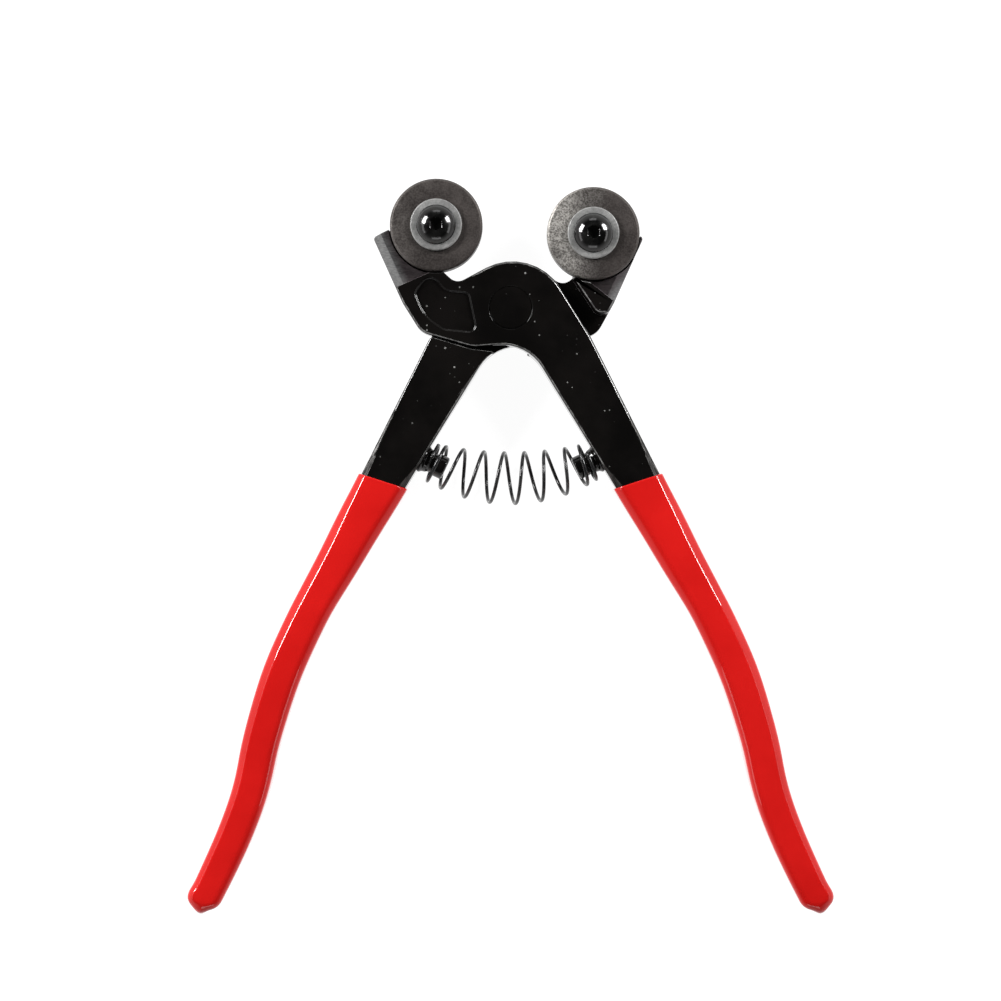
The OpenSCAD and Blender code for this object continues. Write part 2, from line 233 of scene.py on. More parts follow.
# %% Grid and piece helpers
def grid_faces(rows, columns, wrap_rows=False, wrap_columns=False):
    """Corner numbers of the quads between neighbouring rows and columns of a grid."""
    r = np.arange(rows if wrap_rows else rows - 1)[:, None]
    c = np.arange(columns if wrap_columns else columns - 1)[None, :]
    next_r = (r + 1) % rows
    next_c = (c + 1) % columns
    corners = [r * columns + c, next_r * columns + c, next_r * columns + next_c,
               r * columns + next_c]
    return np.stack(np.broadcast_arrays(*corners), -1).reshape(-1, 4)


def make_mesh(name, points, faces, join=1e-4):
    """Mesh from points in mm and faces: points closer than join mm are merged, so that seams and
    poles close, and the faces are turned outwards."""
    mesh = bpy.data.meshes.new(name)
    mesh.from_pydata((np.asarray(points).reshape(-1, 3) * MM).tolist(), [],
                     [list(face) for face in faces])
    work = bmesh.new()
    work.from_mesh(mesh)
    bmesh.ops.remove_doubles(work, verts=work.verts, dist=join * MM)
    bmesh.ops.recalc_face_normals(work, faces=work.faces)
    work.to_mesh(mesh)
    work.free()
    mesh.update()
    return mesh


def smooth(mesh, degrees):
    """Smooth shading that keeps edges sharper than this angle."""
    mesh.polygons.foreach_set("use_smooth", np.ones(len(mesh.polygons), bool))
    mesh.set_sharp_from_angle(angle=np.radians(degrees))


def add_piece(mesh, material, body, node, degrees=35):
    """Object at the origin that rides on a body, stands for a CAD node and names its finish."""
    smooth(mesh, degrees)
    mesh.materials.clear()
    mesh.materials.append(material)
    piece = new_object(mesh.name, mesh)
    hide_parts(node)
    if body:
        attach(piece, body)
    print(piece.name, len(mesh.polygons), "faces")
    return piece


def fillet(corners, radii, steps=6):
    """Rounds each corner of a closed outline: the arc starts r / tan(half) before the corner and
    ends as far after it. Corners have shape (..., n, 2), and each becomes steps + 1 points."""
    corners = np.asarray(corners, float)
    radii = np.broadcast_to(np.asarray(radii, float), corners.shape[:-1])[..., None]
    to_last = np.roll(corners, 1, -2) - corners
    to_next = np.roll(corners, -1, -2) - corners
    to_last /= np.linalg.norm(to_last, axis=-1, keepdims=True)
    to_next /= np.linalg.norm(to_next, axis=-1, keepdims=True)
    half = np.arccos(np.clip((to_last * to_next).sum(-1, keepdims=True), -1, 1)) / 2
    middle = to_last + to_next
    middle /= np.maximum(np.linalg.norm(middle, axis=-1, keepdims=True), 1e-9)
    centre = corners + middle * radii / np.sin(half)
    arm = corners + to_last * radii / np.tan(half) - centre
    turn = np.pi - 2 * half
    cross = to_last[..., :1] * to_next[..., 1:] - to_last[..., 1:] * to_next[..., :1]
    angle = -np.sign(cross) * turn * np.linspace(0, 1, steps + 1)
    cos, sin = np.cos(angle), np.sin(angle)
    x = centre[..., :1] + arm[..., :1] * cos - arm[..., 1:] * sin
    y = centre[..., 1:] + arm[..., :1] * sin + arm[..., 1:] * cos
    return np.stack([x, y], -1).reshape(*corners.shape[:-2], -1, 2)


def lathe(profile, place, steps=128, frame_axes=np.eye(3)):
    """Turns a closed (radius, height) outline about an axis through place. The axes are rows: two
    across and the one along the turning axis."""
    turn = np.linspace(0, 2 * np.pi, steps, endpoint=False)[:, None]
    radius, height = np.asarray(profile, float).T
    ring = (radius * np.cos(turn))[..., None] * frame_axes[0]
    ring = ring + (radius * np.sin(turn))[..., None] * frame_axes[1]
    ring = ring + (height[None, :, None] * frame_axes[2])
    faces = grid_faces(steps, len(profile), wrap_rows=True, wrap_columns=True)
    return ring + np.asarray(place), faces


# %% [markdown]
# ## Effects that several finishes share
# Paint, vinyl and ground metal all vary a little from place to place. Three node groups give
# that: mottle is a soft cloudy value, specks are small scattered dots such as dust or pimples,
# and scratches are fine lines that run one way. Each finish places them with its own values.


# %% Node groups
def new_group(name, inputs, outputs):
    """Empty shader node group with float and vector inputs and float outputs."""
    group = bpy.data.node_groups.new(name, "ShaderNodeTree")
    for key, value in inputs.items():
        kind = "NodeSocketVector" if value is None else "NodeSocketFloat"
        socket = group.interface.new_socket(key, in_out="INPUT", socket_type=kind)
        if value is not None:
            socket.default_value = value
    for key in outputs:
        group.interface.new_socket(key, in_out="OUTPUT", socket_type="NodeSocketFloat")
    return group, group.nodes.new("NodeGroupInput").outputs, group.nodes.new("NodeGroupOutput")


mottle_group, given, result = new_group(
    "mottle", {"Vector": None, "Scale": 200.0, "Low": 0.35, "High": 0.65}, ["Value"])
cloud = add(mottle_group, "ShaderNodeTexNoise", Vector=given["Vector"], Scale=given["Scale"],
            Detail=4.0, Roughness=0.6)
connect(mottle_group, ramp(mottle_group, cloud.outputs["Fac"], given["Low"], given["High"]),
        result.inputs["Value"])

specks_group, given, result = new_group(
    "specks", {"Vector": None, "Scale": 600.0, "Share": 0.1, "Size": 0.3}, ["Mask"])
cells = add(specks_group, "ShaderNodeTexVoronoi", Vector=given["Vector"], Scale=given["Scale"])
lot = add(specks_group, "ShaderNodeSeparateColor", Color=cells.outputs["Color"]).outputs
chosen = calc(specks_group, "LESS_THAN", lot["Red"], given["Share"])
dot_size = times(specks_group, given["Size"],
                plus(specks_group, lot["Green"], 0.3))
dot = ramp(specks_group, cells.outputs["Distance"], dot_size, 0.0)
connect(specks_group, times(specks_group, chosen, dot), result.inputs["Mask"])

scratches_group, given, result = new_group(
    "scratches", {"Vector": None, "Scale": 60.0, "Stretch": 30.0}, ["Value"])
squeezed = add(scratches_group, "ShaderNodeCombineXYZ", X=1.0, Y=given["Stretch"], Z=1.0)
lines = add(scratches_group, "ShaderNodeVectorMath", {"operation": "MULTIPLY"})
connect(scratches_group, given["Vector"], lines.inputs[0])
connect(scratches_group, squeezed.outputs[0], lines.inputs[1])
streaks = add(scratches_group, "ShaderNodeTexNoise", Vector=lines.outputs[0],
              Scale=given["Scale"], Detail=3.0, Roughness=0.7)
connect(scratches_group, ramp(scratches_group, streaks.outputs["Fac"], 0.35, 0.65),
        result.inputs["Value"])


def effect(tree, group, **inputs):
    """Output of a shared effect placed in a material."""
    return add(tree, "ShaderNodeGroup", {"node_tree": group}, **inputs).outputs[0]


def new_finish(name, **constants):
    """Material with a Principled shader, constants on its own sockets, and Object coordinates."""
    material = bpy.data.materials.new(name)
    material.use_nodes = True
    tree = material.node_tree
    shader = tree.nodes["Principled BSDF"]
    for key, value in constants.items():
        shader.inputs[key.replace("_", " ")].default_value = value
    place = add(tree, "ShaderNodeTexCoord").outputs["Object"]
    return material, tree, shader, place


relief_height = 0.1


def bump(tree, shader, height):
    """Feeds a height into the shader's normal: a height of 1 stands relief_height mm proud."""
    relief = add(tree, "ShaderNodeBump", Height=height, Distance=relief_height * MM, Strength=1.0)
    connect(tree, relief.outputs[0], shader.inputs["Normal"])


# %% [markdown]
# ## Black enamel
# The forgings were sprayed or dipped in a thick gloss enamel that dried with a faint orange
# peel, some pimples and dust caught in it. It is rubbed off the handle's bevels, and the ground
# places on the jaws carry none. Light is painted in twice: light lines along the rounded edges
# are a painted highlight, and the ground band on each jaw is painted lighter towards its outer
# edge as a painted reflection. One finish covers all of it: numbers stored on the mesh's faces
# say where the grinder went and where the painted highlight lies, so the border stays sharp. The
# alternative, a second object for the ground part, would leave a seam.

# %% Enamel with bare ground places
enamel, tree, shader, place = new_finish("black_enamel", Specular_IOR_Level=0.5)
peel = effect(tree, mottle_group, Vector=place, Scale=420.0, Low=0.3, High=0.7)
swell = effect(tree, mottle_group, Vector=place, Scale=90.0, Low=0.3, High=0.7)
pimples = effect(tree, specks_group, Vector=place, Scale=430.0, Share=0.10, Size=0.24)
dust = effect(tree, specks_group, Vector=place, Scale=900.0, Share=0.15, Size=0.24)
cloudy = effect(tree, mottle_group, Vector=place, Scale=55.0)
ground = stored(tree, "ground")
painted_sheen_share = stored(tree, "painted_sheen_share")
worn = stored(tree, "worn")
rim = stored(tree, "rim")
run = stored(tree, "run", "Vector")
grit = effect(tree, scratches_group, Vector=place, Scale=900.0, Stretch=7.0)
strokes = effect(tree, scratches_group, Vector=run, Scale=260.0, Stretch=9.0)
dusty_places = ramp(tree, cloudy, 0.15, 0.65)
paint_colour = mix(tree, cloudy, (0.0022, 0.0020, 0.0019, 1), (0.0046, 0.0040, 0.0037, 1))
paint_colour = mix(tree, times(tree, dust, dusty_places), paint_colour,
                   (0.30, 0.30, 0.29, 1))
# Painted highlight: faces marked rim get light grey lines in place of the reflections along the
# rounded edges, broken up by a cloudy mask.
highlight_gaps = effect(tree, mottle_group, Vector=place, Scale=620.0, Low=0.40, High=0.60)
painted_edge_highlight = times(tree, rim, plus(tree, times(tree, highlight_gaps, 0.75), 0.25))
paint_colour = mix(tree, painted_edge_highlight, paint_colour, (0.17, 0.168, 0.165, 1))
worn_colour = mix(tree, strokes, (0.003, 0.003, 0.003, 1), (0.062, 0.060, 0.058, 1))
paint_colour = mix(tree, times(tree, worn, 0.85), paint_colour, worn_colour)
dark_steel = mix(tree, grit, (0.030, 0.024, 0.026, 1), (0.060, 0.050, 0.052, 1))
# Painted reflection: across the ground band the steel turns from the dark grey to this light grey
# towards the jaw's outer edge.
painted_sheen_steel = mix(tree, grit, (0.10, 0.10, 0.10, 1), (0.19, 0.19, 0.19, 1))
steel_and_painted_sheen = mix(tree, ramp(tree, painted_sheen_share, 0.0, 1.0), dark_steel, painted_sheen_steel)
connect(tree, mix(tree, ground, paint_colour, steel_and_painted_sheen), shader.inputs["Base Color"])
bare = plus(tree, times(tree, ground, 0.55), times(tree, worn, 0.85))
connect(tree, bare, shader.inputs["Metallic"])
matt = calc(tree, "MAXIMUM", ground, worn)
paint_rough = ramp(tree, cloudy, 0, 1, 0.06, 0.12)
steel_rough = ramp(tree, grit, 0, 1, 0.34, 0.48)
rough = plus(tree, times(tree, paint_rough, calc(tree, "SUBTRACT", 1.0, matt)),
             times(tree, steel_rough, matt))
connect(tree, rough, shader.inputs["Roughness"])
relief = plus(tree, times(tree, peel, 0.020), times(tree, swell, 0.10))
relief = plus(tree, relief, times(tree, pimples, 0.9))
relief = plus(tree, relief, times(tree, times(tree, grit, ground), 0.1))
relief = plus(tree, relief, times(tree, times(tree, strokes, worn), 0.2))
bump(tree, shader, relief)

# %% [markdown]
# ## The middle line of a handle
# Each shank runs straight down from the pivot, curves in, curves out again and ends in a short
# flare. The grip and the bevels of the forging both follow that line, so it is worked out once:
# the turn of the line at a distance s, the point there, and the width of the steel there.

# %% Middle line
shank_lean = 60.8
shank_offset = 6.4
straight_l = 83.5
bend_in_r, bend_in_a = 130.0, 18.0
bend_out_r, bend_out_a = 90.0, 14.0
flare_l = 11.5
shank_w, neck_w, end_w = 15.0, 10.6, 6.6
coat = 0.6
dip_l = 51.0
curve_end = straight_l + bend_in_r * np.radians(bend_in_a)
flare_at = curve_end + bend_out_r * np.radians(bend_out_a)
bar_l = flare_at + flare_l


def lean_at(s):
    """Angle of the line below the X axis at distance s, in degrees: a sum of two ramps."""
    bent_in = bend_in_a * np.clip((s - straight_l) / (curve_end - straight_l), 0, 1)
    bent_out = bend_out_a * np.clip((s - curve_end) / (flare_at - curve_end), 0, 1)
    return shank_lean + bent_in - bent_out


def outward_at(s):
    """Unit vector from the line towards the handle's outer edge."""
    lean = np.radians(lean_at(s))
    return np.stack([np.sin(lean), np.cos(lean)], -1)


def line_at(s):
    """Point of the line: the running sum of its direction over short steps."""
    fine = np.linspace(0, bar_l + 10, 4001)
    lean = np.radians(lean_at((fine[1:] + fine[:-1]) / 2))
    step = fine[1] - fine[0]
    foot = shank_offset * outward_at(np.array(0.0))
    x = np.concatenate([[0], np.cumsum(np.cos(lean)) * step]) + foot[0]
    y = np.concatenate([[0], -np.cumsum(np.sin(lean)) * step]) + foot[1]
    return np.stack([np.interp(s, fine, x), np.interp(s, fine, y)], -1)


def half_width_at(s):
    """Half the width of the steel at distance s."""
    stations = [0, dip_l, straight_l, curve_end, bar_l]
    return np.interp(s, stations, [shank_w, neck_w, neck_w * 0.78, neck_w * 0.72, end_w]) / 2


def outer_bevel_at(s):
    """Width of the bevel on the outer edges of the forging."""
    return np.interp(s, [26, 40, dip_l, 68, 100, bar_l], [0.0, 0.75, 1.4, 1.9, 1.7, 1.1])


def inner_bevel_at(s):
    """Width of the bevel on the inner edges, which starts below the spring's post."""
    return np.interp(s, [40, dip_l, 60, 100, bar_l], [0.0, 1.7, 1.8, 1.5, 1.1])


bevel_drop = 0.8
print("handle's middle line is", round(bar_l, 1), "mm long and ends at", line_at(bar_l).round(1))

# %% [markdown]
# ## The two forged levers
# A forging has no sharp edge: the dies round it and the enamel rounds it further, while the
# ground jaw stays crisp. The CAD levers have the right shape with sharp edges, so a merged copy
# of each gets its edges rounded by a Bevel modifier, wide on cast edges and fine on machined
# ones. Modelling the head again by hand would risk the half-lap joint. The bevels that widen
# towards the handle are cut with a wedge swept along each edge.

# %% Wedges along the handle's edges
reach_out = 3.0


def wedge(side, face, stations, widths):
    """Sweep of a triangle along an edge of the bar. Its long side is the bevel: it crosses the
    face at the bevel's width inside the edge, and the edge's wall at bevel_drop times that."""
    s = stations[:, None]
    edge = half_width_at(s) + 0 * s
    w = widths[:, None]
    top = head_t / 2 - np.interp(s, [24, 46], [0, coat])
    across = np.concatenate([edge - w - reach_out, edge + reach_out, edge + reach_out], 1)
    height = np.concatenate([top + bevel_drop * reach_out, top + bevel_drop * reach_out,
                             top - bevel_drop * (w + reach_out)], 1)
    flat = line_at(s) + side * across[..., None] * outward_at(s)
    points = np.concatenate([flat, face * height[..., None]], -1)
    rows = len(stations)
    faces = grid_faces(rows, 3, wrap_columns=True).tolist()
    return points.reshape(-1, 3), faces + [[0, 1, 2], [3 * rows - 3, 3 * rows - 2, 3 * rows - 1]]


def several(parts):
    """One list of points and faces from several, with the corner numbers moved up."""
    points, faces = [], []
    for part_points, part_faces in parts:
        first = sum(len(x) for x in points)
        points.append(part_points)
        faces += [[corner + first for corner in face] for face in part_faces]
    return np.concatenate(points), faces


outer_stations = np.concatenate([np.linspace(26, straight_l, 12), np.arange(86, bar_l + 4, 3)])
inner_stations = np.concatenate([np.linspace(40, straight_l, 10), np.arange(86, bar_l + 4, 3)])


def bevel_wedges(name, flip):
    """The four wedges of one lever; flip is 1 for the front lever and -1 for its mirror image."""
    sides = ((1, outer_stations, outer_bevel_at), (-1, inner_stations, inner_bevel_at))
    points, faces = several([wedge(side, face, stations, width_at(stations))
                             for side, stations, width_at in sides for face in (1, -1)])
    return make_mesh(name, points * [flip, 1, 1] + pivot, faces)


# %% Reading and marking a mesh
def read(items, key, width=1, kind=float):
    """Values of one property of a mesh's items, with width numbers for each item."""
    flat = np.empty(len(items) * width, kind)
    items.foreach_get(key, flat)
    return flat.reshape(-1, width) if width > 1 else flat


def points_of(mesh):
    """The mesh's points in millimetres."""
    return read(mesh.vertices, "co", 3) / MM


def mark(mesh, key, domain, values):
    """Stores values on a mesh's faces, edges or points: one number each, or three for a vector."""
    values = np.asarray(values, float)
    kind, field = ("FLOAT_VECTOR", "vector") if values.ndim > 1 else ("FLOAT", "value")
    mesh.attributes.new(key, kind, domain).data.foreach_set(field, values.ravel())


def between(values, limits):
    """True where values lie between two limits."""
    return (values > limits[0]) & (values < limits[1])


# %% Where the jaw is ground
step_below = 9.6
ground_reach = 8.0
band_from, band_width = 10.8, 2.9


def on_jaw(points, flip, wheel, step_angle):
    """Coordinates of points in the grinder's frame: the wheel's centre is the origin, and the
    ground side lies above step_below and left of ground_reach. The rear lever is flipped first."""
    away = (points - wheel)[..., :2] * [flip, 1]
    turn = np.radians(step_angle)
    x = away[..., 0] * np.cos(turn) + away[..., 1] * np.sin(turn)
    y = away[..., 1] * np.cos(turn) - away[..., 0] * np.sin(turn)
    return x, y


def is_ground(points, flip, wheel, step_angle, slack):
    """True where a point of the jaw lies on the ground side, at or above the wheel's seat."""
    x, y = on_jaw(points, flip, wheel, step_angle)
    return (y > -step_below - slack) & (x < ground_reach) & (points[..., 2] > head_t / 2 - slack)


def jaw_share(points, flip, wheel, step_angle):
    """How far out a point of the jaw lies across the ground band: 0 at its inner edge and 1 at the
    jaw's outer edge, where the painted sheen on the ground steel is lightest. It is not cut off at
    0 or 1, so that it stays true between the corners of a large face."""
    x, _ = on_jaw(points, flip, wheel, step_angle)
    return (-x - band_from) / band_width


def handle_places(points):
    """Places of points in the handle's own directions: distance along the middle line, offset to
    the outside, and height. It takes the nearest of many stations of the line."""
    s = np.linspace(0, bar_l, 600)
    line, outward = line_at(s), outward_at(s)
    apart = points[:, None, :2] - line[None]
    nearest = (apart ** 2).sum(-1).argmin(1)
    row = np.arange(len(points))
    offset = (apart[row, nearest] * outward[nearest]).sum(-1)
    return np.stack([s[nearest], offset, points[:, 2]], -1)


# %% Shoulder and panel
face_slack = 0.3
shoulder_x, shoulder_y = (1, 24), (-16, -3)
panel_x, panel_y, panel_reach = (-23.2, -7.5), (-6.4, 8.8), 0.8
panel_slant, slant_start, slant_top = -1.35, (-20.6, -2.6), 3.3


def about_pivot(points, flip):
    """X and Y of points about the pivot, with the rear lever flipped onto the front one."""
    return np.moveaxis((points - pivot)[..., :2] * [flip, 1], -1, 0)


def at_shoulder(points, flip):
    """True where the shank's shoulder faces the other lever's boss across the half-lap joint."""
    x, y = about_pivot(points, flip)
    height = points[..., 2] if flip > 0 else head_t - points[..., 2]
    return (height < face_slack) & between(x, shoulder_x) & between(y, shoulder_y)


def in_panel(points, flip):
    """True for points on the rim or floor of the shallow panel in the jaw's face, whose lower
    outer corner follows the slant of the jaw."""
    x, y = about_pivot(points, flip)
    height = points[..., 2] if flip > 0 else head_t - points[..., 2]
    past_slant = y < panel_slant * (x - slant_start[0]) + slant_start[1]
    inside = between(x, panel_x) & between(y, panel_y) & (height > head_t - panel_reach)
    return inside & ~(past_slant & (y < slant_top))


# %% Edges to round
cast_edge, machined_edge, panel_edge, shoulder_edge = 0.80, 0.12, 0.32, 0.22
bore_reach, post_reach, jaw_above = 6.0, 5.0, 5.0
nearly_flat = 25


def edge_angles(mesh):
    """Angle between the two faces of each edge, in degrees, from the normals of its two sides."""
    of_loop = np.repeat(read(mesh.polygons, "normal", 3), read(mesh.polygons, "loop_total", 1, int),
                        axis=0)
    total = np.zeros((len(mesh.edges), 3))
    np.add.at(total, read(mesh.loops, "edge_index", 1, int), of_loop)
    return 2 * np.degrees(np.arccos(np.clip(np.linalg.norm(total, axis=1) / 2, 0, 1)))


def rounding(mesh, flip, wheel, step_angle, post_base):
    """Share of cast_edge by which each edge is rounded: nothing where it is nearly flat or round
    the spring post, little on machined edges and on the jaw's upright ones, and the panel's own
    radius round the panel."""
    pair = points_of(mesh)[read(mesh.edges, "vertices", 2, int)]
    share = np.ones(len(pair))
    both = is_ground(pair, flip, wheel, step_angle, 0.05).all(1)
    lap = (abs(pair[..., 2] - head_t / 2) < face_slack).all(1)
    bore = (np.linalg.norm((pair - pivot)[..., :2], axis=-1) < bore_reach).all(1)
    share[both | lap | bore] = machined_edge / cast_edge
    share[at_shoulder(pair, flip).all(1)] = shoulder_edge / cast_edge
    share[~both & in_panel(pair, flip).all(1)] = panel_edge / cast_edge
    run = abs(pair[:, 1] - pair[:, 0])
    upright = (run[:, :2].max(1) < 0.05) & (run[:, 2] > 2)
    share[upright & ((pair - pivot)[..., 1] > jaw_above).all(1)] = machined_edge / cast_edge
    share[(np.linalg.norm(pair - post_base, axis=-1) < post_reach).all(1)] = 0
    share[edge_angles(mesh) < nearly_flat] = 0
    return share


# %% Steps of a lever
join_within, flat_within = 0.002, 0.5


def merged_copy(node):
    """Copy of a CAD node's mesh with doubled points joined and each flat face made whole."""
    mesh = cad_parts[node].data.copy()
    work = bmesh.new()
    work.from_mesh(mesh)
    bmesh.ops.remove_doubles(work, verts=work.verts, dist=join_within * MM)
    bmesh.ops.dissolve_limit(work, angle_limit=np.radians(flat_within), verts=work.verts,
                             edges=work.edges)
    work.to_mesh(mesh)
    work.free()
    return mesh


def evaluated_copy(piece, name):
    """Mesh of an object with its modifiers applied."""
    bpy.context.view_layer.update()
    made = piece.evaluated_get(bpy.context.evaluated_depsgraph_get())
    mesh = bpy.data.meshes.new_from_object(made)
    mesh.name = name
    return mesh


def rounded_and_cut(name, mesh, flip):
    """Rounds the weighted edges of a lever, then cuts the handle's bevels with the wedges."""
    draft = new_object("draft", mesh)
    rounder = draft.modifiers.new("rounded edges", "BEVEL")
    rounder.limit_method = "WEIGHT"
    rounder.width = cast_edge * MM
    rounder.segments = 4
    rounder.miter_outer = "MITER_ARC"
    rounder.use_clamp_overlap = False
    tool = new_object("tool", bevel_wedges("wedges", flip))
    cut = draft.modifiers.new("bevels", "BOOLEAN")
    cut.operation = "DIFFERENCE"
    cut.solver = "EXACT"
    cut.object = tool
    final = evaluated_copy(draft, name)
    bpy.data.objects.remove(draft)
    bpy.data.objects.remove(tool)
    return final


screw_reach = 3.0
handle_below = -8.0
bevel_up = np.cos(np.arctan(bevel_drop))
# Range of face tilt that gets the painted edge highlight.
highlight_tilt = (0.72, 0.93)


def mark_finishes(mesh, flip, wheel, step_angle):
    """Stores on the faces where the steel is ground or worn and where the painted highlight lines
    the rounded edges, and on the points their share across the ground band, which sets its
    painted sheen, and their place along the handle."""
    middle = read(mesh.polygons, "center", 3) / MM
    up = read(mesh.polygons, "normal", 3)[:, 2]
    outside = np.linalg.norm((middle - wheel)[:, :2], axis=1) > screw_reach
    ground = is_ground(middle, flip, wheel, step_angle, 0.1) & outside & (
        (up > 0.5) | (middle[:, 2] > head_t / 2 + 0.05))
    worn = ((middle - pivot)[:, 1] < handle_below) & (abs(abs(up) - bevel_up) < 0.02)
    # Faces tilted like the middle of a rounded edge carry the painted highlight lines.
    rim = ~worn & ~ground & between(abs(up), highlight_tilt) & ~in_panel(middle, flip)
    rim &= np.linalg.norm((middle - pivot)[:, :2], axis=1) > bore_reach
    for key, value in (("ground", ground), ("worn", worn), ("rim", rim)):
        mark(mesh, key, "FACE", value)
    points = points_of(mesh)
    # The share across the ground band sets how much painted sheen the ground steel gets.
    mark(mesh, "painted_sheen_share", "POINT", jaw_share(points, flip, wheel, step_angle))
    mark(mesh, "run", "POINT", handle_places((points - pivot) * [flip, 1, 1]) * MM)
    # The last count is of the faces with the painted edge highlight.
    print(mesh.name, "ground faces", ground.sum(), "worn", worn.sum(), "painted highlight", rim.sum())


# %% Both levers
def forged(side_name, flip, step_angle):
    """Lever piece: merged copy of the CAD lever with rounded edges, bevels and marked places."""
    node = f"{side_name}_lever"
    wheel = centre_mm(f"{side_name}_wheel")
    mesh = merged_copy(node)
    share = rounding(mesh, flip, wheel, step_angle, centre_mm(f"{side_name}_spring_post"))
    mark(mesh, "bevel_weight_edge", "EDGE", share)
    final = rounded_and_cut(f"lever_{side_name}", mesh, flip)
    mark_finishes(final, flip, wheel, step_angle)
    piece = add_piece(final, enamel, node, node, 40)
    level = piece.modifiers.new("flat faces stay flat", "WEIGHTED_NORMAL")
    level.keep_sharp = True


front_step_angle, rear_step_angle = 24, 38
forged("front", 1, front_step_angle)
forged("rear", -1, rear_step_angle)

# %% [markdown]
# ## Dipped vinyl grips
# Each handle was dipped in liquid vinyl, which follows the bar's bevels with soft shoulders,
# ends in a thin rounded lip across the handle, and leaves a small drip where it ran off the
# tip. A closed sleeve does this: half a cross-section is carried down the outer edge, round
# the tip and up the inner edge, and the same walk returns inside against the steel. Solidify
# on an open skin would be quicker, but could not follow the steel inside.

# %% Vinyl
vinyl, tree, shader, place = new_finish("red_vinyl", Specular_IOR_Level=0.05, Coat_Roughness=0.03,
                                        Coat_Weight=1.0)
cloudy = effect(tree, mottle_group, Vector=place, Scale=45.0, Low=0.1, High=0.9)
ripple = effect(tree, mottle_group, Vector=place, Scale=120.0, Low=0.0, High=1.0)
nicks = effect(tree, specks_group, Vector=place, Scale=170.0, Share=0.025, Size=0.09)
pores = effect(tree, specks_group, Vector=place, Scale=900.0, Share=0.04, Size=0.25)
red = mix(tree, cloudy, (0.45, 0.0062, 0.0054, 1), (0.58, 0.0100, 0.0085, 1))
connect(tree, mix(tree, nicks, red, (0.80, 0.30, 0.27, 1)), shader.inputs["Base Color"])
connect(tree, ramp(tree, cloudy, 0, 1, 0.20, 0.30), shader.inputs["Roughness"])
skin = plus(tree, times(tree, ripple, 0.45), times(tree, pores, -0.10))
bump(tree, shader, skin)

# %% Sleeve of the grip
dip_slant, slant_l = 0.198, 14
lip_steps = 5
tip_steps = 52
outer_shoulder, inner_shoulder, side_round, steel_round = 1.1, 2.6, 1.2, 0.3
vinyl_bevel = 0.3
grip_half_t = head_t / 2 - 0.02
steel_half_t = head_t / 2 - coat
waves = ((0.05, 7.3, 2), (0.04, 3.1, 1))
corner_swell, corner_at, corner_spread = 0.9, 0.75, 0.55
drip_l, drip_at, drip_outside, drip_inside = 2.0, 1.62, 0.45, 0.34


def half_section(width, bevel, half_t, shoulder, corner, steps=4):
    """Half a cross-section from the top's middle over the edge to the bottom's middle, as
    (reach, height): two flats, two bevels of bevel_drop, and the side wall, with soft corners."""
    drop = bevel_drop * bevel
    zero = 0 * width
    reach = [zero, width - bevel, width, width, width, width - bevel, zero, zero - 5]
    height = [zero + half_t, zero + half_t, half_t - drop, zero, drop - half_t, zero - half_t,
              zero - half_t, zero]
    corners = np.stack([np.stack(reach, -1), np.stack(height, -1)], -1)
    tiny = zero + 1e-3
    radii = [tiny, shoulder, corner, tiny, corner, shoulder, tiny, tiny]
    return fillet(corners, np.stack(radii, -1), steps)[:, steps:-2 * (steps + 1) + 1]


def handle_walk(extra):
    """Stations down the outer edge, round the tip and up the inner edge: distance, turn about the
    tip from 0 to pi, half width and bevel width, each one number per station."""
    down_s = np.concatenate([dip_l + slant_l * np.linspace(0, 1, 12) ** 1.5,
                             np.linspace(dip_l + slant_l + 2, bar_l, 60)])
    turn = np.linspace(0, np.pi, tip_steps)[1:-1]
    s = np.concatenate([down_s, np.full(len(turn), bar_l), down_s[::-1]])
    angle = np.concatenate([0 * down_s, turn, 0 * down_s + np.pi])
    share = angle / np.pi
    bevel = (1 - share) * outer_bevel_at(s) + share * np.maximum(inner_bevel_at(s), 0.2)
    return s, angle, half_width_at(s) + extra, bevel


def place_rows(s, angle, section, ahead):
    """Points of the walk's rows in mm: each section stands square to the middle line, slides
    along it with the slant of the lip near the dip, and turns about the tip at the end."""
    reach, height = section[..., 0], section[..., 1]
    side = np.cos(angle)[:, None]
    near = np.clip(1 - (s - dip_l) / slant_l, 0, 1)[:, None]
    at = s[:, None] + dip_slant * reach * side * near + ahead
    lean = np.radians(lean_at(at))
    along = np.stack([np.cos(lean), -np.sin(lean)], -1)
    flat = line_at(at) + reach[..., None] * (
        side[..., None] * outward_at(at) + np.sin(angle)[:, None, None] * along)
    return np.concatenate([flat, height[..., None]], -1)


def bell(angle, middle, spread):
    """Bell curve: e to the minus square of the distance from the middle over the spread."""
    return np.exp(-((angle - middle) / spread) ** 2)


